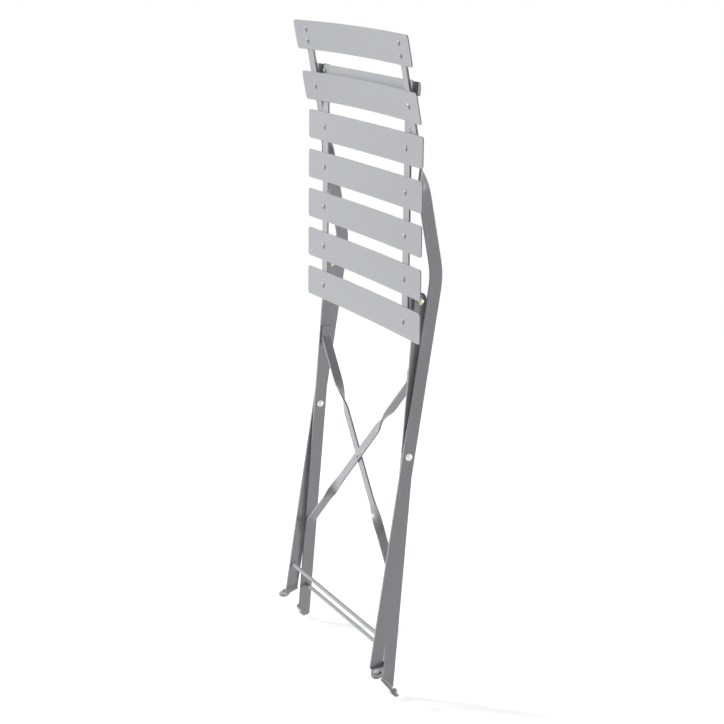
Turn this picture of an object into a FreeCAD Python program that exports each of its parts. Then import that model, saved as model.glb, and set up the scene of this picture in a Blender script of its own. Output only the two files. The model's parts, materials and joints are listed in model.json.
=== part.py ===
import FreeCAD, Part
import math
import os
import Sketcher
from FreeCAD import Placement, Rotation, Vector

# Driving dimensions, in millimetres and degrees, of a flat-bar garden chair standing folded
dimensions = {
    # leg pivot: its place in the frame, and half the clear width between the rear legs
    "pivot_depth": 6.556,
    "pivot_height": 343.625,
    "leg_inset": 154.0,
    "joint_gap": 1.3,
    # flat bar of the long bars and rear legs
    "bar_width": 18.0,
    "bar_thickness": 3.0,
    # long bar: leans back up to its bend, then forward
    "upright_lean_angle": 8.5,
    "upright_bend_angle": 19.3,
    "upright_bend_radius": 110.0,
    "upright_foot_reach": 296.4,
    "upright_bend_reach": 252.6,
    "upright_top_reach": 322.0,
    "twist_start": 105.0,
    "twist_end": 165.0,
    "upright_corner": 5.0,
    # rear leg
    "leg_lean_angle": 4.25,
    "leg_foot_reach": 325.2,
    "leg_seat_reach": 214.5,
    # foot tabs: folded along a line that lies level when the chair stands open
    "opening_angle": 68.0,
    "upright_foot_slope_angle": 24.1,
    "foot_bend_angle": 82.0,
    "foot_bend_radius": 2.0,
    "foot_hole_reach": 15.0,
    "foot_slot_length": 9.5,
    # plastic glides
    "glide_stem_diameter": 6.0,
    "glide_head_diameter": 6.6,
    "glide_head_height": 3.6,
    "glide_pad_diameter": 14.0,
    "glide_pad_height": 3.2,
    "glide_head_round": 1.2,
    # cross rods
    "rod_diameter": 6.0,
    "front_rod_drop": 255.0,
    "front_rod_forward": 3.0,
    "rear_rod_drop": 285.0,
    # crossed brace straps
    "strap_width": 13.5,
    "strap_thickness": 2.5,
    "strap_tab_length": 16.5,
    "strap_top_rise": 111.8,
    "strap_bottom_drop": 192.8,
    "strap_forward": 1.0,
    "strap_bend_radius": 4.0,
    "strap_twist_reach": 73.0,
    "strap_twist_length": 64.0,
    # slats
    "slat_height": 42.0,
    "slat_thickness": 1.5,
    "slat_corner": 5.0,
    "seat_slat_length": 390.0,
    "seat_slat_bow": 3.5,
    "seat_slat_pitch": 58.4,
    "back_slat_length": 392.0,
    "back_slat_bow": 8.2,
    "back_slat_reach": 230.0,
    "back_slat_pitch": 75.1,
    "back_rivet_spacing": 16.9,
    # seat frame
    "seat_drop": 19.8,
    "front_slat_drop": 29.3,
    "rail_spacing": 280.0,
    "rail_width": 18.0,
    "rail_thickness": 2.5,
    "rail_front_margin": 16.0,
    "rail_rear_margin": 9.4,
    "rear_bar_rise": 285.2,
    "rear_bar_length": 364.0,
    "rear_bar_height": 18.0,
    "ear_thickness": 2.5,
    "ear_height": 24.0,
    "ear_base_length": 19.6,
    "ear_margin": 10.0,
    "ear_bend_radius": 1.0,
    # rivets and washers
    "pivot_diameter": 6.0,
    "pivot_head_diameter": 11.0,
    "pivot_head_height": 3.0,
    "seat_head_diameter": 10.0,
    "seat_head_height": 2.4,
    "washer_diameter": 14.0,
    "rivet_diameter": 4.0,
    "rivet_head_diameter": 8.2,
    "rivet_head_height": 2.0,
    "brace_head_diameter": 7.0,
    "brace_head_height": 1.4,
    # clearances
    "pivot_clearance": 0.05,
    "rivet_clearance": 0.05,
    "head_clearance": 0.02,
    "strap_gap": 0.05,
    "running_gap": 0.3,
    "ear_gap": 0.4,
}
seat_slat_count = 5
twist_steps = 8
quarter_turn = 90
sides = {"right": 1, "left": -1}

doc = FreeCAD.newDocument("folding_chair")
sizes = doc.addObject("Spreadsheet::Sheet", "sizes")
for row, (alias, value) in enumerate(dimensions.items(), 1):
    sizes.set(f"A{row}", alias)
    sizes.set(f"B{row}", str(value))
    sizes.setAlias(f"B{row}", alias)
doc.recompute()

nodes = []
axis_x = Vector(1, 0, 0)
axis_z = Vector(0, 0, 1)


def size(alias):
    return float(sizes.get(alias))


# Directions in the chair's side plane, for a bar that leans back by an angle
def along(lean):
    return Vector(0, math.sin(math.radians(lean)), math.cos(math.radians(lean)))


def across(lean):
    return Vector(0, math.cos(math.radians(lean)), -math.sin(math.radians(lean)))


def placed(origin, x_direction, y_direction):
    z_direction = x_direction.cross(y_direction)
    return Placement(origin, Rotation(x_direction, y_direction, z_direction, "ZXY"))


# Bodies, sketches and features
def new_body(label):
    body = doc.addObject("PartDesign::Body", label)
    body.Label = label
    nodes.append(body)
    return body


def new_sketch(body, role, offset=Placement()):
    plane = [item for item in body.Origin.OriginFeatures if item.Role == role][0]
    sketch = body.newObject("Sketcher::SketchObject", "Sketch")
    sketch.AttachmentSupport = [(plane, "")]
    sketch.MapMode = "FlatFace"
    sketch.AttachmentOffset = offset
    return sketch


def bind(sketch, name, formula, *constraint):
    index = sketch.addConstraint(Sketcher.Constraint(*constraint))
    sketch.renameConstraint(index, name)
    sketch.setExpression(f"Constraints.{name}", formula)


# Closed outline of level and upright lines through the given corners
def draw_outline(sketch, corners):
    count = len(corners)
    for index, start in enumerate(corners):
        end = corners[(index + 1) % count]
        sketch.addGeometry(Part.LineSegment(Vector(*start), Vector(*end)))
        level = abs(start[1] - end[1]) < abs(start[0] - end[0])
        sketch.addConstraint(Sketcher.Constraint("Horizontal" if level else "Vertical", index))
    for index in range(count):
        sketch.addConstraint(Sketcher.Constraint("Coincident", index, 2, (index + 1) % count, 1))


# Round hole on the sketch's upright axis
def draw_hole(sketch, name, diameter, height):
    circle = sketch.addGeometry(Part.Circle(Vector(0, 1, 0), axis_z, 1))
    sketch.addConstraint(Sketcher.Constraint("PointOnObject", circle, 3, -2))
    bind(sketch, f"{name}_diameter", diameter, "Diameter", circle, 2)
    bind(sketch, f"{name}_height", height, "DistanceY", -1, 1, circle, 3, 1)


def pad(body, sketch, formula):
    feature = body.newObject("PartDesign::Pad", "Pad")
    feature.Profile = sketch
    feature.setExpression("Length", formula)
    doc.recompute()
    return feature


def cut_through(body, sketch):
    volume = body.Tip.Shape.Volume
    feature = body.newObject("PartDesign::Pocket", "Pocket")
    feature.Profile = sketch
    feature.Type = "ThroughAll"
    feature.SideType = "Symmetric"
    doc.recompute()
    if feature.Shape.Volume >= volume:
        raise RuntimeError(f"{body.Label}: the hole cuts nothing")


def round_edges(body, formula, wanted):
    base = body.Tip
    chosen = [f"Edge{index}" for index, edge in enumerate(base.Shape.Edges, 1) if wanted(edge)]
    feature = body.newObject("PartDesign::Fillet", "Fillet")
    feature.Base = (base, chosen)
    feature.setExpression("Radius", formula)
    doc.recompute()


def runs_along(edge, direction):
    span = edge.Vertexes[-1].Point - edge.Vertexes[0].Point
    return span.Length > 0 and abs(span.normalize().dot(direction)) > 0.999


def add_feature(label, shape):
    feature = doc.addObject("Part::Feature", label)
    feature.Label = label
    feature.Shape = shape
    nodes.append(feature)
    return feature


def join(solids):
    return solids[0].multiFuse(solids[1:]).removeSplitter().Solids[0]


def drill(shape, centre, direction, radius, depth):
    tool = Part.makeCylinder(radius, 2 * depth, centre - direction * depth, direction)
    return shape.cut(tool).Solids[0]


def mirrored(shape, side):
    return shape if side > 0 else shape.mirror(Vector(0, 0, 0), axis_x)


# Main places in the side plane
bar_half = size("bar_width") / 2
bar_thickness = size("bar_thickness")
leg_inner = size("leg_inset")
leg_outer = leg_inner + bar_thickness
upright_inner = leg_outer + size("joint_gap")
upright_outer = upright_inner + bar_thickness
upright_middle = upright_inner + bar_thickness / 2
lower_lean = size("upright_lean_angle")
upper_lean = lower_lean - size("upright_bend_angle")
leg_lean = size("leg_lean_angle")
leg_foot_slope = size("upright_foot_slope_angle") - size("opening_angle")
pivot = Vector(0, size("pivot_depth"), size("pivot_height"))
apex = pivot + along(lower_lean) * size("upright_bend_reach")
upright_fold = pivot - along(lower_lean) * size("upright_foot_reach")
leg_fold = pivot - along(leg_lean) * size("leg_foot_reach")
seat_pivot = pivot + along(leg_lean) * size("leg_seat_reach")
seat_front = seat_pivot.y - size("seat_drop")
pivot_hole = size("pivot_diameter") / 2 + size("pivot_clearance")
rivet_hole = size("rivet_diameter") / 2 + size("rivet_clearance")
stem_hole = size("glide_stem_diameter") / 2 + size("rivet_clearance")

# Bowed slats: radius of the front face, and the curve's centre behind which the ends lie at zero
seat_radius_formula = (
    "(sizes.seat_slat_length ^ 2 / 4 + sizes.seat_slat_bow ^ 2) / (2 * sizes.seat_slat_bow)")
back_radius_formula = (
    "(sizes.back_slat_length ^ 2 / 4 + sizes.back_slat_bow ^ 2) / (2 * sizes.back_slat_bow)")
slat_thickness = size("slat_thickness")
seat_radius = (size("seat_slat_length") ** 2 / 4 + size("seat_slat_bow") ** 2) / (2 * size("seat_slat_bow"))
back_radius = (size("back_slat_length") ** 2 / 4 + size("back_slat_bow") ** 2) / (2 * size("back_slat_bow"))
back_tilt = math.degrees(math.asin(upright_middle / (back_radius + slat_thickness + bar_thickness / 2)))


def rise(radius, x):
    return math.sqrt(radius ** 2 - x ** 2)


# Share of a twist's turn, slow at both ends
def eased(part):
    return part * part * (3 - 2 * part)


# Oblong hole that takes a glide's stem
def cut_slot(tab, centre, level, outward, under):
    near = centre - under * bar_thickness
    shift = size("foot_slot_length") / 2 - stem_hole
    ends = []
    sides_of_slot = []
    for sign in (1, -1):
        middle = near + level * (shift * sign)
        start = middle + outward * (stem_hole * sign)
        finish = middle - outward * (stem_hole * sign)
        ends.append(Part.Arc(start, middle + level * (stem_hole * sign), finish).toShape())
        sides_of_slot.append(Part.makeLine(finish, finish - level * (2 * shift * sign)))
    outline = Part.Wire(Part.__sortEdges__(ends + sides_of_slot))
    return tab.cut(Part.Face(outline).extrude(under * (3 * bar_thickness))).Solids[0]


# Foot tab on the right-hand side: the bend and the tab, with the hole's centre on its upper face
def folded_foot(fold, lean, slope, face):
    level = Vector(0, math.cos(math.radians(slope)), math.sin(math.radians(slope)))
    down = Vector(0, level.z, -level.y)
    bend = math.radians(size("foot_bend_angle"))
    radius = size("foot_bend_radius")
    half = bar_half / level.dot(across(lean))
    outer = fold + axis_x * face
    inner = outer - axis_x * bar_thickness
    corners = [outer + level * half, outer - level * half, inner - level * half, inner + level * half]
    centre = outer + axis_x * radius
    section = Part.Face(Part.makePolygon(corners + corners[:1]))
    curve = section.revolve(centre, -level, size("foot_bend_angle"))
    under = axis_x * -math.cos(bend) + down * math.sin(bend)
    outward = axis_x * math.sin(bend) + down * math.cos(bend)
    start = centre + under * radius
    axis = -along(lean)
    run = level * axis.dot(level) + outward * axis.dot(down)
    side = level * axis.dot(down) - outward * axis.dot(level)
    hole = start + run * size("foot_hole_reach")
    end_arc = Part.Arc(hole + side * bar_half, hole + run * bar_half, hole - side * bar_half).toShape()
    edges = [
        Part.makeLine(start + level * half, hole + side * bar_half),
        end_arc,
        Part.makeLine(hole - side * bar_half, start - level * half),
        Part.makeLine(start - level * half, start + level * half),
    ]
    tab = Part.Face(Part.Wire(edges)).extrude(under * bar_thickness)
    tab = cut_slot(tab, hole, level, outward, under)
    return [curve, tab], hole, outward, under, half, level


upright_foot = folded_foot(upright_fold, lower_lean, size("upright_foot_slope_angle"), upright_outer)
leg_foot = folded_foot(leg_fold, leg_lean, leg_foot_slope, leg_outer)


# Flat bar seen from the side: rear edge upwards, then front edge downwards
def side_blank(edges, inner):
    face = Part.Face(Part.Wire(edges))
    face.translate(axis_x * inner)
    return face.extrude(axis_x * bar_thickness)


# Long bar: leg, bend, quarter twist and back strip, whose front face follows the bowed slats
strip_turn = quarter_turn - back_tilt


def bar_section(reach, turn):
    centre = apex + along(upper_lean) * reach + axis_x * upright_middle
    cosine = math.cos(math.radians(turn))
    sine = math.sin(math.radians(turn))
    wide = (across(upper_lean) * cosine - axis_x * sine) * bar_half
    thick = (axis_x * cosine + across(upper_lean) * sine) * (bar_thickness / 2)
    corners = [centre + wide + thick, centre - wide + thick, centre - wide - thick, centre + wide - thick]
    return Part.makePolygon(corners + corners[:1])


def slat_reach(row):
    return size("back_slat_reach") + row * size("back_slat_pitch")


# Back rivets: the lower slat has one at each end, the top slat two
back_rivet_reaches = [
    slat_reach(0),
    slat_reach(1) - size("back_rivet_spacing") / 2,
    slat_reach(1) + size("back_rivet_spacing") / 2,
]
strip_front = -(axis_x * math.sin(math.radians(back_tilt)) +
                across(upper_lean) * math.cos(math.radians(back_tilt)))
strip_rear_place = axis_x * upright_middle - strip_front * (bar_thickness / 2)


def make_upright():
    solids, hole, outward, under, half, level = upright_foot
    offset = size("upright_bend_radius") * math.tan(math.radians(size("upright_bend_angle") / 2))
    bend_start = apex - along(lower_lean) * offset
    bend_end = apex + along(upper_lean) * offset
    bend_middle_lean = (lower_lean + upper_lean) / 2
    centre = bend_start - across(lower_lean) * size("upright_bend_radius")
    twist_base = apex + along(upper_lean) * size("twist_start")
    rows = {}
    for name, shift in (("rear", bar_half), ("front", -bar_half)):
        radius = size("upright_bend_radius") + shift
        sign = math.copysign(1, shift)
        rows[name] = [
            upright_fold + level * (half * sign),
            bend_start + across(lower_lean) * shift,
            centre + across(bend_middle_lean) * radius,
            bend_end + across(upper_lean) * shift,
            twist_base + across(upper_lean) * shift,
        ]
    edges = []
    for name in rows:
        foot, start, middle, end, top = rows[name]
        edges += [Part.makeLine(foot, start), Part.Arc(start, middle, end).toShape(), Part.makeLine(end, top)]
    edges.append(Part.makeLine(rows["rear"][-1], rows["front"][-1]))
    edges.append(Part.makeLine(rows["rear"][0], rows["front"][0]))
    blank = side_blank(Part.__sortEdges__(edges), upright_inner)
    span = size("twist_end") - size("twist_start")
    sections = []
    for step in range(twist_steps + 1):
        part = step / twist_steps
        sections.append(bar_section(size("twist_start") + span * part, strip_turn * eased(part)))
    twist = Part.makeLoft(sections, True, False)
    strip_length = size("upright_top_reach") - size("twist_end")
    strip = Part.Face(bar_section(size("twist_end"), strip_turn)).extrude(along(upper_lean) * strip_length)
    top = apex + along(upper_lean) * size("upright_top_reach")
    corner_edges = [
        edge for edge in strip.Edges
        if runs_along(edge, strip_front) and abs((edge.CenterOfMass - top).dot(along(upper_lean))) < 0.01
    ]
    strip = strip.makeFillet(size("upright_corner"), corner_edges)
    for reach in back_rivet_reaches:
        place = apex + along(upper_lean) * reach + axis_x * upright_middle
        strip = drill(strip, place, strip_front, rivet_hole, 2 * bar_thickness)
    blank = drill(blank, pivot + axis_x * upright_middle, axis_x, pivot_hole, 2 * bar_thickness)
    return join([blank, twist, strip] + solids)


# Rear leg: straight bar, rounded about the seat pivot
def make_leg():
    solids, hole, outward, under, half, level = leg_foot
    rear_top = seat_pivot + across(leg_lean) * bar_half
    front_top = seat_pivot - across(leg_lean) * bar_half
    crown = seat_pivot + along(leg_lean) * bar_half
    edges = [
        Part.makeLine(leg_fold + level * half, rear_top),
        Part.Arc(rear_top, crown, front_top).toShape(),
        Part.makeLine(front_top, leg_fold - level * half),
        Part.makeLine(leg_fold - level * half, leg_fold + level * half),
    ]
    blank = side_blank(edges, leg_inner)
    for centre in (pivot, seat_pivot):
        blank = drill(blank, centre + axis_x * leg_inner, axis_x, pivot_hole, 2 * bar_thickness)
    return join([blank] + solids)


upright_shape = make_upright()
leg_shape = make_leg()
for side_name, side in sides.items():
    add_feature(f"long_bar_{side_name}", mirrored(upright_shape, side))
    add_feature(f"rear_leg_{side_name}", mirrored(leg_shape, side))


# Brace strap in the rear legs' own frame: tab and bend at each end, then a quarter twist of the same
# hand, so that the broad face looks forward at the crossing
strap_half = size("strap_width") / 2
strap_thickness = size("strap_thickness")
strap_x = leg_inner - strap_thickness / 2
strap_low = -size("strap_bottom_drop")
strap_high = size("strap_top_rise")
tab_half = size("strap_tab_length") / 2
strap_from = Vector(-strap_x, 0, strap_low + tab_half)
strap_to = Vector(strap_x, 0, strap_high - tab_half)
strap_run = (strap_to - strap_from).normalize()
strap_square = Vector(strap_run.z, 0, -strap_run.x)
brace_height = strap_from.z + strap_run.z / strap_run.x * strap_x


def strap_section(centre, turn):
    cosine = math.cos(math.radians(turn))
    sine = math.sin(math.radians(turn))
    depth = Vector(0, 1, 0)
    wide = (depth * cosine + strap_square * sine) * strap_half
    thick = (strap_square * cosine - depth * sine) * (strap_thickness / 2)
    corners = [centre + wide + thick, centre - wide + thick, centre - wide - thick, centre + wide - thick]
    return Part.makePolygon(corners + corners[:1])


# One end of a strap, from the tab up to where the flat middle starts
def strap_end(corner, tab_direction, run, hand):
    turn = math.acos(tab_direction.dot(run))
    offset = size("strap_bend_radius") * math.tan(turn / 2)
    start = corner - tab_direction * offset
    end = corner + run * offset
    foot = corner - tab_direction * (2 * tab_half)
    inward = (run - tab_direction).normalize()
    centre = corner + inward * (size("strap_bend_radius") / math.cos(turn / 2))
    rows = []
    for shift in (strap_thickness / 2, -strap_thickness / 2):
        square = (start - centre).normalize()
        last = (end - centre).normalize()
        middle = -inward
        reach = size("strap_bend_radius") + shift
        rows.append([foot + square * shift, centre + square * reach, centre + middle * reach, centre + last * reach])
    edges = []
    for low, begin, middle, finish in rows:
        edges += [Part.makeLine(low, begin), Part.Arc(begin, middle, finish).toShape()]
    edges += [Part.makeLine(rows[0][0], rows[1][0]), Part.makeLine(rows[0][3], rows[1][3])]
    face = Part.Face(Part.Wire(Part.__sortEdges__(edges)))
    face.translate(Vector(0, -strap_half, 0))
    bent = face.extrude(Vector(0, 2 * strap_half, 0))
    twist_base = corner + run * size("strap_twist_reach")
    straight = Part.Face(strap_section(end, 0)).extrude(twist_base - end)
    sections = []
    for step in range(twist_steps + 1):
        part = step / twist_steps
        station = twist_base + run * (size("strap_twist_length") * part)
        sections.append(strap_section(station, hand * quarter_turn * eased(part)))
    twist = Part.makeLoft(sections, True, False)
    return [bent, straight, twist], twist_base + run * size("strap_twist_length")


def make_strap():
    low_solids, low_end = strap_end(strap_from, axis_z, strap_run, 1)
    high_solids, high_end = strap_end(strap_to, -axis_z, -strap_run, -1)
    middle = Part.Face(strap_section(low_end, quarter_turn)).extrude(high_end - low_end)
    strap = join(low_solids + [middle] + high_solids)
    centre = Vector(0, 0, brace_height)
    return drill(strap, centre, Vector(0, 1, 0), rivet_hole, 2 * strap_thickness)


# The rear strap is the front one turned about
strap_depth = (strap_thickness + size("strap_gap")) / 2
straps = {"brace_strap_front": (-strap_depth, 0), "brace_strap_rear": (strap_depth, 2 * quarter_turn)}
for label, (shift, heading) in straps.items():
    strap = add_feature(label, make_strap())
    base = pivot + across(leg_lean) * (shift - size("strap_forward"))
    strap.Placement = Placement(base, Rotation(axis_x, -leg_lean).multiply(Rotation(axis_z, heading)))


# Bowed slat: an arc in plan raised to its height, with rounded corners and a rivet hole at each side
def add_slat(label, length, radius_formula, radius, height, rivet_place, rivet_spread, tilt):
    half = size(length) / 2
    body = new_body(label)
    sketch = new_sketch(body, "XY_Plane")
    centre = Vector(0, -rise(radius, half), 0)
    faces = []
    for face_radius in (radius, radius + slat_thickness):
        corner = math.acos(half / face_radius)
        circle = Part.Circle(centre, axis_z, face_radius)
        faces.append(sketch.addGeometry(Part.ArcOfCircle(circle, corner, math.pi - corner)))
    front, rear = faces
    rear_end = centre.y + rise(radius + slat_thickness, half)
    right = sketch.addGeometry(Part.LineSegment(Vector(half, 0, 0), Vector(half, rear_end, 0)))
    left = sketch.addGeometry(Part.LineSegment(Vector(-half, 0, 0), Vector(-half, rear_end, 0)))
    for constraint in (
            ("PointOnObject", front, 3, -2), ("PointOnObject", front, 1, -1), ("PointOnObject", front, 2, -1),
            ("Coincident", rear, 3, front, 3), ("Vertical", right), ("Vertical", left),
            ("Coincident", front, 1, right, 1), ("Coincident", right, 2, rear, 1),
            ("Coincident", front, 2, left, 1), ("Coincident", left, 2, rear, 2)):
        sketch.addConstraint(Sketcher.Constraint(*constraint))
    bind(sketch, "slat_length", f"sizes.{length}", "DistanceX", front, 2, front, 1, 2 * half)
    bind(sketch, "front_radius", radius_formula, "Radius", front, radius)
    bind(sketch, "rear_radius", f"{radius_formula} + sizes.slat_thickness", "Radius", rear,
         radius + slat_thickness)
    pad(body, sketch, f"sizes.{height}")
    round_edges(body, "sizes.slat_corner",
                lambda edge: runs_along(edge, Vector(0, 1, 0)) and edge.Length < 2 * slat_thickness)
    for side in sides.values():
        offset = Placement(Vector(side * rivet_place, 0, 0), Rotation(Vector(0, 1, 0), -side * tilt))
        holes = new_sketch(body, "XZ_Plane", offset)
        spread = f"sizes.{rivet_spread} / 2" if rivet_spread else "0"
        hole = "sizes.rivet_diameter + 2 * sizes.rivet_clearance"
        draw_hole(holes, "upper", hole, f"sizes.{height} / 2 + {spread}")
        if rivet_spread:
            draw_hole(holes, "lower", hole, f"sizes.{height} / 2 - {spread}")
        cut_through(body, holes)
    return body


# Seat slats and the narrow bar behind them lie on one curve
rail_place = size("rail_spacing") / 2
slat_half = size("slat_height") / 2
front_slat_middle = seat_pivot.z - size("front_slat_drop")
for index in range(seat_slat_count):
    slat = add_slat(f"seat_slat_{index + 1}", "seat_slat_length", seat_radius_formula, seat_radius,
                    "slat_height", rail_place, None, 0)
    middle = front_slat_middle + index * size("seat_slat_pitch")
    slat.Placement = Placement(Vector(0, seat_front, middle - slat_half), Rotation())
rear_bar_middle = seat_pivot.z + size("rear_bar_rise")
seat_centre = seat_front - rise(seat_radius, size("seat_slat_length") / 2)
rear_bar_front = seat_centre + rise(seat_radius, size("rear_bar_length") / 2)
rear_bar = add_slat("seat_rear_bar", "rear_bar_length", seat_radius_formula, seat_radius,
                    "rear_bar_height", rail_place, None, 0)
rear_bar.Placement = Placement(
    Vector(0, rear_bar_front, rear_bar_middle - size("rear_bar_height") / 2), Rotation())

# Back slats lie against the strips of the long bars
tilt_sine = math.sin(math.radians(back_tilt))
tilt_cosine = math.cos(math.radians(back_tilt))
back_centre = (
    upright_middle * tilt_sine - bar_thickness / 2 - back_radius - slat_thickness) / tilt_cosine
back_front = back_centre + rise(back_radius, size("back_slat_length") / 2)
back_rivet_place = rise(back_radius, size("back_slat_length") / 2) * tilt_sine / tilt_cosine
back_slats = {"back_slat_lower": (0, None), "back_slat_top": (1, "back_rivet_spacing")}
for label, (row, spread) in back_slats.items():
    slat = add_slat(label, "back_slat_length", back_radius_formula, back_radius, "slat_height",
                    back_rivet_place, spread, back_tilt)
    base = apex + along(upper_lean) * (slat_reach(row) - slat_half) + across(upper_lean) * back_front
    slat.Placement = placed(base, axis_x, across(upper_lean))

# Seat rails behind the slats, touching them along the rails' inner edges
rail_front = seat_centre + rise(seat_radius + slat_thickness, rail_place - size("rail_width") / 2)
rail_rear = rail_front + size("rail_thickness")
rail_base = front_slat_middle - size("rail_front_margin")
rail_hole = "sizes.rivet_diameter + 2 * sizes.rivet_clearance"
rear_hole_height = "sizes.rail_front_margin + sizes.front_slat_drop + sizes.rear_bar_rise"
rail_length = f"{rear_hole_height} + sizes.rail_rear_margin"
rail_half = size("rail_width") / 2
rail_top = rear_bar_middle + size("rail_rear_margin") - rail_base
for side_name, side in sides.items():
    body = new_body(f"seat_rail_{side_name}")
    sketch = new_sketch(body, "XY_Plane")
    draw_outline(sketch, [(-rail_half, 0), (rail_half, 0), (rail_half, rail_top), (-rail_half, rail_top)])
    sketch.addConstraint(Sketcher.Constraint("Symmetric", 0, 1, 0, 2, -1, 1))
    bind(sketch, "rail_width", "sizes.rail_width", "Distance", 0, 2 * rail_half)
    bind(sketch, "rail_length", rail_length, "Distance", 1, rail_top)
    for index in range(seat_slat_count):
        height = f"sizes.rail_front_margin + {index} * sizes.seat_slat_pitch"
        draw_hole(sketch, f"slat_{index + 1}", rail_hole, height)
    draw_hole(sketch, "rear_bar", rail_hole, rear_hole_height)
    pad(body, sketch, "sizes.rail_thickness")
    body.Placement = placed(Vector(side * rail_place, rail_rear, rail_base), axis_x, axis_z)

# Hinge ears: an angle with its base behind the rail and its arm beside the rear leg
ear_outer = leg_inner - size("ear_gap")
for side_name, side in sides.items():
    body = new_body(f"hinge_ear_{side_name}")
    sketch = new_sketch(body, "XY_Plane")
    draw_outline(sketch, [(0, 0), (-side * 20, 0), (-side * 20, 3), (-side * 3, 3), (-side * 3, 25), (0, 25)])
    sketch.addConstraint(Sketcher.Constraint("Coincident", 0, 1, -1, 1))
    arm = seat_pivot.y - rail_rear
    bind(sketch, "base_length", "sizes.ear_base_length", "Distance", 0, 20)
    bind(sketch, "base_thickness", "sizes.ear_thickness", "Distance", 1, 3)
    bind(sketch, "arm_thickness", "sizes.ear_thickness", "Distance", 4, 3)
    bind(sketch, "arm_length", f"{arm} + sizes.ear_margin", "Distance", 5, 25)
    pad(body, sketch, "sizes.ear_height")
    arm_end = arm + size("ear_margin")
    round_edges(body, "sizes.ear_margin", lambda edge: runs_along(edge, axis_x)
                and abs(edge.CenterOfMass.y - arm_end) < 0.01)
    round_edges(body, "sizes.ear_bend_radius", lambda edge: runs_along(edge, axis_z)
                and abs(edge.CenterOfMass.x) < 0.01 and abs(edge.CenterOfMass.y) < 0.01)
    holes = new_sketch(body, "YZ_Plane", Placement(Vector(arm, 0, 0), Rotation()))
    draw_hole(holes, "pivot", "sizes.pivot_diameter + 2 * sizes.pivot_clearance", "sizes.ear_height / 2")
    cut_through(body, holes)
    base = Vector(side * ear_outer, rail_rear, seat_pivot.z - size("ear_height") / 2)
    body.Placement = Placement(base, Rotation())


# Glides: head above the tab, stem through it and a pad below, cut level with the floor of the open chair
pad_slope = quarter_turn - size("foot_bend_angle")
for place, foot in (("front", upright_foot), ("rear", leg_foot)):
    solids, hole, outward, under, half, level = foot
    for side_name, side in sides.items():
        body = new_body(f"{place}_glide_{side_name}")
        sketch = new_sketch(body, "XZ_Plane")
        draw_outline(sketch, [(0, -9), (7, -9), (7, -3), (3, -3), (3, 0), (4.5, 0), (4.5, 2), (0, 2)])
        sketch.addConstraint(Sketcher.Constraint("PointOnObject", 4, 1, -1))
        sketch.addConstraint(Sketcher.Constraint("PointOnObject", 7, 1, -2))
        bind(sketch, "pad_radius", "sizes.glide_pad_diameter / 2", "Distance", 0, 7)
        bind(sketch, "pad_depth", "2 * sizes.glide_pad_height", "Distance", 1, 6)
        bind(sketch, "tab_thickness", "sizes.bar_thickness", "Distance", 3, 3)
        bind(sketch, "head_height", "sizes.glide_head_height", "Distance", 5, 2)
        bind(sketch, "head_radius", "sizes.glide_head_diameter / 2", "Distance", 6, 4.5)
        bind(sketch, "stem_radius", "sizes.glide_stem_diameter / 2", "DistanceX", -1, 1, 4, 1, 3)
        turned = body.newObject("PartDesign::Revolution", "Revolution")
        turned.Profile = sketch
        turned.ReferenceAxis = (sketch, ["V_Axis"])
        doc.recompute()
        head_top = size("glide_head_height")
        round_edges(body, "sizes.glide_head_round",
                    lambda edge: abs(edge.BoundBox.ZMin - head_top) < 0.01 and edge.Closed)
        sole_depth = bar_thickness + size("glide_pad_height")
        offset = Placement(Vector(0, 0, -sole_depth), Rotation(Vector(0, 1, 0), -pad_slope))
        sole = new_sketch(body, "XY_Plane", offset)
        circle = sole.addGeometry(Part.Circle(Vector(0, 0, 0), axis_z, 10))
        sole.addConstraint(Sketcher.Constraint("Coincident", circle, 3, -1, 1))
        bind(sole, "sole_diameter", "2 * sizes.glide_pad_diameter", "Diameter", circle, 20)
        volume = body.Tip.Shape.Volume
        trim = body.newObject("PartDesign::Pocket", "Pocket")
        trim.Profile = sole
        trim.Type = "ThroughAll"
        doc.recompute()
        if trim.Shape.Volume >= volume:
            raise RuntimeError(f"{body.Label}: the sole is not cut")
        x_direction = Vector(outward.x * side, outward.y, outward.z)
        up = Vector(-under.x * side, -under.y, -under.z)
        origin = Vector(hole.x * side, hole.y, hole.z)
        body.Placement = placed(origin, x_direction, up.cross(x_direction))
        sole_centre = origin - up * sole_depth
        sole_normal = Vector(0, level.z, -level.y)
        print("sole", body.Label, sole_centre, sole_normal)


# Cross rods butt against the inner faces of the bars
def add_rod(label, centre, half_length):
    rod = doc.addObject("Part::Cylinder", label)
    rod.Label = label
    rod.setExpression("Radius", "sizes.rod_diameter / 2")
    rod.Height = 2 * half_length
    rod.Placement = Placement(centre - axis_x * half_length, Rotation(axis_z, axis_x))
    nodes.append(rod)


front_rod_place = (pivot - along(lower_lean) * size("front_rod_drop")
                   - across(lower_lean) * size("front_rod_forward"))
add_rod("front_rod", front_rod_place, upright_inner)
add_rod("rear_rod", pivot - along(leg_lean) * size("rear_rod_drop"), leg_inner)


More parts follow.
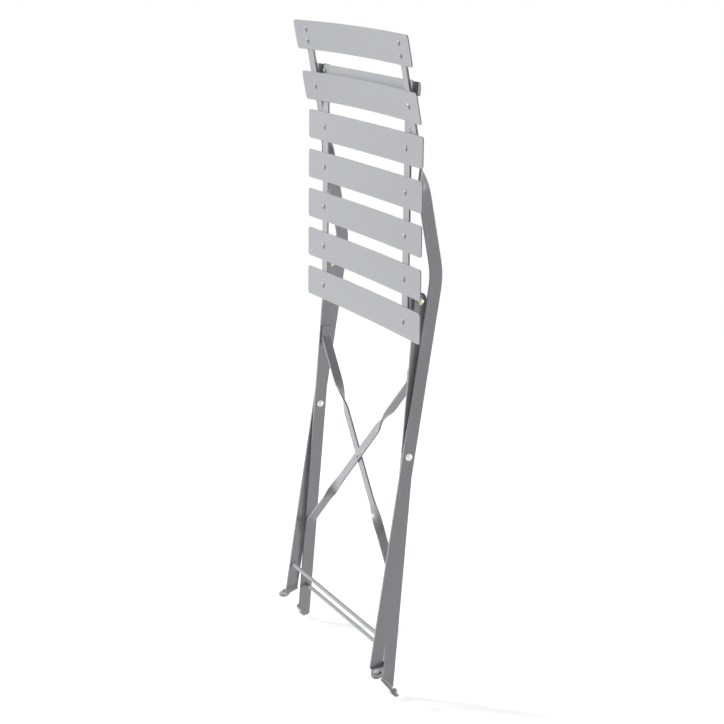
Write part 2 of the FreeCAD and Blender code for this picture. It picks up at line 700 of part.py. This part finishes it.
# Rivet along its own Z: domed head above zero, shank down to the grip, domed head below
def add_rivet(label, diameter, head_diameter, head_height, grip):
    shank = doc.addObject("Part::Cylinder", f"{label}_shank")
    shank.setExpression("Radius", f"sizes.{diameter} / 2")
    shank.Height = grip
    shank.Placement = Placement(Vector(0, 0, -grip), Rotation())
    pieces = [shank]
    width = f"sizes.{head_diameter} ^ 2 / 4"
    depth = f"sizes.{head_height} ^ 2"
    radius = (size(head_diameter) ** 2 / 4 + size(head_height) ** 2) / (2 * size(head_height))
    sink = radius - size(head_height)
    for name, base, turn in (("head", -sink, 0), ("tail", sink - grip, 180)):
        dome = doc.addObject("Part::Sphere", f"{label}_{name}")
        dome.setExpression("Radius", f"({width} + {depth}) / (2 * sizes.{head_height})")
        dome.setExpression("Angle1", f"asin(1 - 2 * {depth} / ({width} + {depth}))")
        dome.Placement = Placement(Vector(0, 0, base), Rotation(axis_x, turn))
        pieces.append(dome)
    rivet = doc.addObject("Part::MultiFuse", label)
    rivet.Label = label
    rivet.Shapes = pieces
    doc.recompute()
    return rivet


def axis_frame(origin, direction):
    return Placement(origin, Rotation(axis_z, direction))


# Leg pivots are fixed in the long bars, seat pivots in the ears, and both turn in the rear legs
gap = size("running_gap")
for side_name, side in sides.items():
    outward = axis_x * side
    rivet = add_rivet(f"leg_pivot_{side_name}", "pivot_diameter", "pivot_head_diameter", "pivot_head_height",
                      upright_outer - leg_inner + gap)
    rivet.Placement = axis_frame(pivot + outward * upright_outer, outward)
    nodes.append(rivet)
    rivet = add_rivet(f"seat_pivot_{side_name}", "pivot_diameter", "seat_head_diameter", "seat_head_height",
                      leg_outer + gap - ear_outer + size("ear_thickness"))
    rivet.Placement = axis_frame(seat_pivot + outward * (leg_outer + gap), outward)
    nodes.append(rivet)
    washer_thickness = size("joint_gap") - gap
    rim = doc.addObject("Part::Cylinder", f"washer_rim_{side_name}")
    rim.setExpression("Radius", "sizes.washer_diameter / 2")
    bore = doc.addObject("Part::Cylinder", f"washer_bore_{side_name}")
    bore.setExpression("Radius", "sizes.pivot_diameter / 2 + sizes.pivot_clearance")
    for piece in (rim, bore):
        piece.Height = washer_thickness
    washer = doc.addObject("Part::Cut", f"pivot_washer_{side_name}")
    washer.Label = f"pivot_washer_{side_name}"
    washer.Base = rim
    washer.Tool = bore
    washer.Placement = axis_frame(pivot + outward * (leg_outer + gap), outward)
    nodes.append(washer)


# Groups of equal rivets are copies of one rivet
def add_rivet_group(label, pattern, places):
    copies = []
    for place in places:
        copy = pattern.Shape.copy()
        copy.Placement = place
        copies.append(copy)
    add_feature(label, Part.makeCompound(copies))


head_clearance = size("head_clearance")
rivet_head_half = size("rivet_head_diameter") / 2
seat_head_base = seat_centre + rise(seat_radius, rail_place + rivet_head_half) - head_clearance
seat_rivet = add_rivet("seat_rivet_pattern", "rivet_diameter", "rivet_head_diameter", "rivet_head_height",
                       rail_rear - seat_head_base)
seat_rivet_heights = [front_slat_middle + index * size("seat_slat_pitch") for index in range(seat_slat_count)]
seat_rivet_heights.append(rear_bar_middle)
forward = Vector(0, -1, 0)
add_rivet_group("seat_rivets", seat_rivet, [
    axis_frame(Vector(side * rail_place, seat_head_base, height), forward)
    for side in sides.values() for height in seat_rivet_heights
])
back_rivet = add_rivet("back_rivet_pattern", "rivet_diameter", "rivet_head_diameter", "rivet_head_height",
                       slat_thickness + bar_thickness + head_clearance)
back_places = []
for side in sides.values():
    front = Vector(strip_front.x * side, strip_front.y, strip_front.z)
    for reach in back_rivet_reaches:
        station = apex + along(upper_lean) * reach
        rear_face = Vector(strip_rear_place.x * side, strip_rear_place.y, strip_rear_place.z)
        grip = slat_thickness + bar_thickness + head_clearance
        back_places.append(axis_frame(station + rear_face + front * grip, front))
add_rivet_group("back_rivets", back_rivet, back_places)

# Rivet at the crossing of the brace straps
brace_rivet = add_rivet("brace_rivet", "rivet_diameter", "brace_head_diameter", "brace_head_height",
                        2 * strap_thickness + size("strap_gap"))
brace_face = size("strap_forward") + strap_depth + strap_thickness / 2
brace_place = pivot + along(leg_lean) * brace_height - across(leg_lean) * brace_face
brace_rivet.Placement = axis_frame(brace_place, -across(leg_lean))
nodes.append(brace_rivet)

doc.recompute()
for item in doc.Objects:
    if "Invalid" in item.State or "Error" in item.State:
        raise RuntimeError(f"{item.Label}: {item.State}")
for node in nodes:
    if node.Shape.isNull() or not node.Shape.isValid():
        raise RuntimeError(f"{node.Label}: no valid shape")
box = Part.makeCompound([node.Shape for node in nodes]).BoundBox
print("box", box)
print("leg pivot", pivot, "seat pivot", seat_pivot)

os.makedirs("parts", exist_ok=True)
for node in nodes:
    node.Shape.exportStep(f"parts/{node.Label}.step")
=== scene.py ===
import json
import math
import bmesh
import bpy
import numpy
from mathutils import Matrix, Vector


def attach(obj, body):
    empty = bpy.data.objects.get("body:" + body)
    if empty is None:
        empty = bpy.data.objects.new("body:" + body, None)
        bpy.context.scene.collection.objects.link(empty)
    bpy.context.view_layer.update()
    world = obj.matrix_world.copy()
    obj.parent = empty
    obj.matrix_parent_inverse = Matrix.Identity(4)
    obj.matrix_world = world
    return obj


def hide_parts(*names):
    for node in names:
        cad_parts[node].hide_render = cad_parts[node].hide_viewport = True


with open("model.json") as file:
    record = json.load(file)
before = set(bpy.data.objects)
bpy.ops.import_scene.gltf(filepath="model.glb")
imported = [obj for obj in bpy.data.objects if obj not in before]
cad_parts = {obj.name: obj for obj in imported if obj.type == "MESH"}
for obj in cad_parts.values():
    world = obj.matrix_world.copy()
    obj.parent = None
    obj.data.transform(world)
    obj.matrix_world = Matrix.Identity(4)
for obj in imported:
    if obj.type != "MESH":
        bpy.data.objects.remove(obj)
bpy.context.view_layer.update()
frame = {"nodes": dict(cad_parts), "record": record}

scene = bpy.context.scene
nodes = frame["nodes"]
record = frame["record"]
millimetre = 0.001


# Shader maths on sockets
class Signal:
    def __init__(self, tree, socket):
        self.tree = tree
        self.socket = socket

    def combine(self, operation, first, second):
        settings = {"operation": operation}
        return addNode(self.tree, "ShaderNodeMath", settings, {0: first, 1: second})

    def __add__(self, other):
        return self.combine("ADD", self, other)

    def __radd__(self, other):
        return self.combine("ADD", other, self)

    def __sub__(self, other):
        return self.combine("SUBTRACT", self, other)

    def __rsub__(self, other):
        return self.combine("SUBTRACT", other, self)

    def __mul__(self, other):
        return self.combine("MULTIPLY", self, other)

    def __rmul__(self, other):
        return self.combine("MULTIPLY", other, self)


def addNode(tree, kind, settings, inputs, output=0):
    node = tree.nodes.new(kind)
    for name, value in settings.items():
        if name == "stops":
            for stop, (place, colour) in zip(node.color_ramp.elements, value):
                stop.position = place
                stop.color = colour
        else:
            setattr(node, name, value)
    for name, value in inputs.items():
        if isinstance(value, Signal):
            tree.links.new(value.socket, node.inputs[name])
        else:
            node.inputs[name].default_value = value
    return Signal(tree, node.outputs[output]) if node.outputs else node


def newMaterial(name):
    material = bpy.data.materials.new(name)
    material.use_nodes = True
    tree = material.node_tree
    place = addNode(tree, "ShaderNodeTexCoord", {}, {}, "Object")
    return material, tree.nodes["Principled BSDF"], place


def connect(signal, shader, name):
    signal.tree.links.new(signal.socket, shader.inputs[name])


def noise(place, scale, detail=2.0, roughness=0.5):
    inputs = {"Vector": place, "Scale": scale, "Detail": detail, "Roughness": roughness}
    return addNode(place.tree, "ShaderNodeTexNoise", {}, inputs, "Fac")


# Noise at which a colour is at its shade and at its full tone, and the mean between them
noiseRange = {"low": 0.3, "mean": 0.5, "high": 0.7}


def blend(pattern, shade, colour):
    stops = [(noiseRange["low"], shade), (noiseRange["high"], colour)]
    return addNode(pattern.tree, "ShaderNodeValToRGB", {"stops": stops}, {"Fac": pattern}, "Color")


def uneven(value, pattern, spread):
    return value + (pattern - noiseRange["mean"]) * spread


def relief(pattern, strength, depth):
    inputs = {"Height": pattern, "Strength": strength, "Distance": depth}
    return addNode(pattern.tree, "ShaderNodeBump", {}, inputs, "Normal")


# Silver-grey powder coat: fine orange peel and a slightly uneven gloss
paint = {
    "colour": (0.515, 0.520, 0.545, 1.0),
    "shade": (0.495, 0.500, 0.525, 1.0),
    "roughnessSpread": 0.10,
    "cloudScale": 260.0,
    "peelScale": 1100.0,
    "peelStrength": 0.2,
    "peelDepth": 0.00004,
}
# The coat is glossier on the small round pieces than on the flat ones
coats = {
    "greyPaint": {"roughness": 0.34, "specular": 0.32},
    "rivetPaint": {"roughness": 0.22, "specular": 0.6},
    "rodPaint": {"roughness": 0.24, "specular": 0.6},
}


def makePaint(name):
    coat = coats[name]
    material, shader, place = newMaterial(name)
    cloud = noise(place, paint["cloudScale"])
    peel = noise(place, paint["peelScale"])
    connect(blend(cloud, paint["shade"], paint["colour"]), shader, "Base Color")
    connect(uneven(coat["roughness"], cloud, paint["roughnessSpread"]), shader, "Roughness")
    connect(relief(peel, paint["peelStrength"], paint["peelDepth"]), shader, "Normal")
    shader.inputs["Specular IOR Level"].default_value = coat["specular"]
    return material


# Bare metal of the pivots and washers: fine handling marks
metal = {
    "markScale": 700.0,
    "markDetail": 4.0,
    "markRoughness": 0.65,
    "roughnessSpread": 0.12,
    "metallic": 0.85,
}
alloys = {
    "brightRivet": {
        "colour": (0.86, 0.85, 0.80, 1.0), "shade": (0.74, 0.73, 0.68, 1.0), "roughness": 0.22,
    },
    "brassRivet": {
        "colour": (0.72, 0.66, 0.50, 1.0), "shade": (0.60, 0.54, 0.40, 1.0), "roughness": 0.30,
    },
    "zincWasher": {
        "colour": (0.60, 0.60, 0.61, 1.0), "shade": (0.48, 0.48, 0.49, 1.0), "roughness": 0.38,
    },
}


def makeMetal(name):
    alloy = alloys[name]
    material, shader, place = newMaterial(name)
    marks = noise(place, metal["markScale"], metal["markDetail"], metal["markRoughness"])
    connect(blend(marks, alloy["shade"], alloy["colour"]), shader, "Base Color")
    connect(uneven(alloy["roughness"], marks, metal["roughnessSpread"]), shader, "Roughness")
    shader.inputs["Metallic"].default_value = metal["metallic"]
    return material


# Cream moulded plastic of the glides: a fine grain
plastic = {
    "colour": (0.92, 0.91, 0.84, 1.0),
    "shade": (0.88, 0.87, 0.78, 1.0),
    "roughness": 0.5,
    "roughnessSpread": 0.1,
    "cloudScale": 160.0,
    "grainScale": 1200.0,
    "grainStrength": 0.3,
    "grainDepth": 0.00003,
}


def makePlastic(name):
    material, shader, place = newMaterial(name)
    cloud = noise(place, plastic["cloudScale"])
    grain = noise(place, plastic["grainScale"])
    connect(blend(cloud, plastic["shade"], plastic["colour"]), shader, "Base Color")
    connect(uneven(plastic["roughness"], grain, plastic["roughnessSpread"]), shader, "Roughness")
    connect(relief(grain, plastic["grainStrength"], plastic["grainDepth"]), shader, "Normal")
    return material


materials = {
    "grey_paint": makePaint("greyPaint"),
    "bright_rivet": makeMetal("brightRivet"),
    "brass_rivet": makeMetal("brassRivet"),
    "zinc_washer": makeMetal("zincWasher"),
    "glide_plastic": makePlastic("creamPlastic"),
}
rivetPaint = makePaint("rivetPaint")
rodPaint = makePaint("rodPaint")
print("materials made")

slotOf = {entry["node"]: entry["material_slot"] for entry in record["subparts"]}
bodies = record["behaviour"]["bodies"]
bodyOf = {node: body for body, members in bodies.items() for node in members}


def materialOf(node):
    if "rivet" in node:
        return rivetPaint
    return rodPaint if node.endswith("_rod") else materials[slotOf[node]]


# Copies of the CAD forms with their sharp edges eased, as on rolled and sheared steel:
# the width of the easing in millimetres
easing = {
    "long_bar": 0.5,
    "rear_leg": 0.5,
    "brace_strap": 0.4,
    "seat_rail": 0.4,
    "hinge_ear": 0.35,
    "seat_slat": 0.35,
    "back_slat": 0.35,
    "seat_rear_bar": 0.35,
    "front_glide": 0.4,
    "rear_glide": 0.4,
    "front_rod": 0.3,
    "rear_rod": 0.3,
    "pivot_washer": 0.15,
}
easingSegments = 2
mergeDistance = 1e-6
flatAngle = math.radians(0.5)
sharpAngle = math.radians(35)
creaseAngle = math.radians(50)


def mergedCopy(node):
    shape = bmesh.new()
    shape.from_mesh(nodes[node].data)
    bmesh.ops.remove_doubles(shape, verts=shape.verts, dist=mergeDistance)
    return shape


def smoothFaces(shape):
    for face in shape.faces:
        face.smooth = True
    for edge in shape.edges:
        edge.smooth = len(edge.link_faces) != 2 or edge.calc_face_angle() < creaseAngle


def finishPiece(shape, node):
    name = f"{node}_piece"
    mesh = bpy.data.meshes.new(name)
    shape.to_mesh(mesh)
    shape.free()
    mesh.materials.append(materialOf(node))
    piece = bpy.data.objects.new(name, mesh)
    scene.collection.objects.link(piece)
    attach(piece, bodyOf[node])
    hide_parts(node)
    return piece


def easedCopy(node, width):
    shape = mergedCopy(node)
    bmesh.ops.dissolve_limit(shape, angle_limit=flatAngle, verts=shape.verts, edges=shape.edges)
    sharp = [edge for edge in shape.edges
             if len(edge.link_faces) == 2 and edge.calc_face_angle() > sharpAngle]
    bmesh.ops.bevel(shape, geom=sharp, offset=width * millimetre, offset_type="OFFSET",
                    segments=easingSegments, profile=0.5, affect="EDGES", clamp_overlap=True,
                    material=-1)
    smoothFaces(shape)
    weighted = finishPiece(shape, node).modifiers.new("weighted", "WEIGHTED_NORMAL")
    weighted.keep_sharp = True


for node in nodes:
    for family, width in easing.items():
        if node.startswith(family):
            easedCopy(node, width)
print("pieces eased")

# Rivets turned afresh on the CAD rivets' axes: domed heads with a short upright rim.
# The points beyond rimShare of the widest radius are the rim, and those within shankShare
# of it are a dome's crown, not the shank.
turning = {
    "steps": 32,
    "domeSteps": 8,
    "rim": 0.25 * millimetre,
    "rimShare": 0.99,
    "shankShare": 0.3,
}
upright = Vector((0.0, 0.0, 1.0))


def islandsOf(shape):
    seen = set()
    islands = []
    for first in shape.verts:
        if first in seen:
            continue
        seen.add(first)
        island = [first]
        for vert in island:
            for edge in vert.link_edges:
                other = edge.other_vert(vert)
                if other not in seen:
                    seen.add(other)
                    island.append(other)
        islands.append(island)
    return islands


# A rivet's heads and their undersides hold most of its surface, so they give its axis
def axisOf(island):
    spread = numpy.zeros((3, 3))
    for vert in island:
        for face in vert.link_faces:
            normal = numpy.array(face.normal)
            spread += face.calc_area() * numpy.outer(normal, normal)
    axis = Vector(numpy.linalg.eigh(spread)[1][:, 2])
    return -axis if sum(axis) < 0 else axis


def domeProfile(rimRadius, rimLevel, apexLevel):
    height = apexLevel - rimLevel
    sphere = (rimRadius ** 2 + height ** 2) / (2 * abs(height))
    opening = math.asin(min(1.0, rimRadius / sphere))
    profile = []
    for step in range(turning["domeSteps"] + 1):
        angle = opening * step / turning["domeSteps"]
        drop = math.copysign(sphere * (1 - math.cos(angle)), height)
        profile.append((sphere * math.sin(angle), apexLevel - drop))
    return profile


def rivetOutline(levels, radii):
    widest = max(radii)
    rims = [level for level, radius in zip(levels, radii)
            if radius > turning["rimShare"] * widest]
    shank = min(radius for radius in radii if radius > turning["shankShare"] * widest)
    top = max(rims)
    bottom = min(rims)
    upper = domeProfile(widest, top + turning["rim"], max(levels))
    lower = domeProfile(widest, bottom - turning["rim"], min(levels))
    necks = [(widest, top), (shank, top), (shank, bottom), (widest, bottom)]
    return upper + necks + lower[::-1]


def addTurnedRivet(shape, island):
    axis = axisOf(island)
    centre = sum((vert.co for vert in island), Vector()) / len(island)
    levels = [(vert.co - centre).dot(axis) for vert in island]
    radii = [(vert.co - centre - axis * level).length for vert, level in zip(island, levels)]
    turn = upright.rotation_difference(axis).to_matrix()
    verts = [shape.verts.new(centre + turn @ Vector((radius, 0.0, level)))
             for radius, level in rivetOutline(levels, radii)]
    edges = [shape.edges.new(pair) for pair in zip(verts, verts[1:])]
    bmesh.ops.spin(shape, geom=verts + edges, cent=centre, axis=axis, angle=2 * math.pi,
                   steps=turning["steps"], use_merge=True)


def turnedRivets(node):
    source = mergedCopy(node)
    source.normal_update()
    shape = bmesh.new()
    for island in islandsOf(source):
        addTurnedRivet(shape, island)
    source.free()
    bmesh.ops.remove_doubles(shape, verts=shape.verts, dist=mergeDistance)
    bmesh.ops.recalc_face_normals(shape, faces=shape.faces)
    smoothFaces(shape)
    finishPiece(shape, node)


for node in nodes:
    if "rivet" in node or node.startswith(("leg_pivot", "seat_pivot")):
        turnedRivets(node)
print("rivets turned")

# Camera at the photograph's station, measured from the leg pivot
cameraPlan = {
    "fromPivot": (2.4009, -1.0618, 0.7119),
    "back": (0.8905, -0.3938, 0.2277),
    "right": (0.4020, 0.9156, 0.0116),
    "focalPixels": 1893.0,
    "framePixels": 724.0,
    "sensor": 36.0,
}
joints = {joint["name"]: joint for joint in record["behaviour"]["joints"]}


def addCamera():
    data = bpy.data.cameras.new("camera")
    data.sensor_fit = "HORIZONTAL"
    data.sensor_width = cameraPlan["sensor"]
    data.lens = cameraPlan["focalPixels"] / cameraPlan["framePixels"] * cameraPlan["sensor"]
    camera = bpy.data.objects.new("camera", data)
    back = Vector(cameraPlan["back"]).normalized()
    right = Vector(cameraPlan["right"])
    right = (right - back * right.dot(back)).normalized()
    up = back.cross(right)
    turn = Matrix((right, up, back)).transposed().to_4x4()
    station = Vector(joints["leg_fold"]["pos_m"]) + Vector(cameraPlan["fromPivot"])
    camera.matrix_world = Matrix.Translation(station) @ turn
    scene.collection.objects.link(camera)
    scene.camera = camera


# Pale floor that renders white where nothing shades it, and a white surround
studio = {
    "floorSize": 4.4,
    "floorColour": (0.88, 0.88, 0.88, 1.0),
    "floorGlow": 0.80,
    "floorDrop": 0.5 * millimetre,
    "white": (1.0, 1.0, 1.0, 1.0),
    "ambient": 0.03,
}


# 1 for rays from the camera, from gloss and through glass, 0 for the light on the chair
def seenOutright(tree):
    camera, glossy, transmission = [
        addNode(tree, "ShaderNodeLightPath", {}, {}, f"Is {kind} Ray")
        for kind in ("Camera", "Glossy", "Transmission")
    ]
    return camera + glossy + transmission


def addFloor():
    shape = bmesh.new()
    bmesh.ops.create_grid(shape, x_segments=1, y_segments=1, size=studio["floorSize"] / 2)
    bmesh.ops.translate(shape, verts=shape.verts, vec=(0.0, 0.0, -studio["floorDrop"]))
    mesh = bpy.data.meshes.new("floor")
    shape.to_mesh(mesh)
    shape.free()
    material = bpy.data.materials.new("floorPaper")
    material.use_nodes = True
    tree = material.node_tree
    tree.nodes.clear()
    strength = seenOutright(tree) * studio["floorGlow"]
    matte = addNode(tree, "ShaderNodeBsdfDiffuse", {}, {"Color": studio["floorColour"]})
    glow = addNode(tree, "ShaderNodeEmission", {}, {"Color": studio["white"], "Strength": strength})
    both = addNode(tree, "ShaderNodeAddShader", {}, {0: matte, 1: glow})
    addNode(tree, "ShaderNodeOutputMaterial", {}, {"Surface": both})
    mesh.materials.append(material)
    floor = bpy.data.objects.new("floor", mesh)
    scene.collection.objects.link(floor)


def addWorld():
    world = bpy.data.worlds.new("surround")
    scene.world = world
    world.use_nodes = True
    tree = world.node_tree
    tree.nodes.clear()
    strength = studio["ambient"] + seenOutright(tree) * (1.0 - studio["ambient"])
    inputs = {"Color": studio["white"], "Strength": strength}
    light = addNode(tree, "ShaderNodeBackground", {}, inputs)
    addNode(tree, "ShaderNodeOutputWorld", {}, {"Surface": light})


# A key lamp at the front left and a low side lamp at the right rear, aimed at mid-height
lamps = {
    "key": {"place": (-2.6, -3.2, 2.2), "power": 174.0, "size": 0.8},
    "side": {"place": (2.0, 2.8, 0.5), "power": 46.0, "size": 1.1},
}
lampAim = Vector((0.0, 0.0, 0.45))


def addLamps():
    for name, plan in lamps.items():
        data = bpy.data.lights.new(name, "AREA")
        data.energy = plan["power"]
        data.size = plan["size"]
        lamp = bpy.data.objects.new(name, data)
        lamp.location = plan["place"]
        heading = lampAim - Vector(plan["place"])
        lamp.rotation_euler = heading.to_track_quat("-Z", "Y").to_euler()
        scene.collection.objects.link(lamp)


addCamera()
addFloor()
addWorld()
addLamps()
scene.view_settings.view_transform = "Standard"
print("studio set")
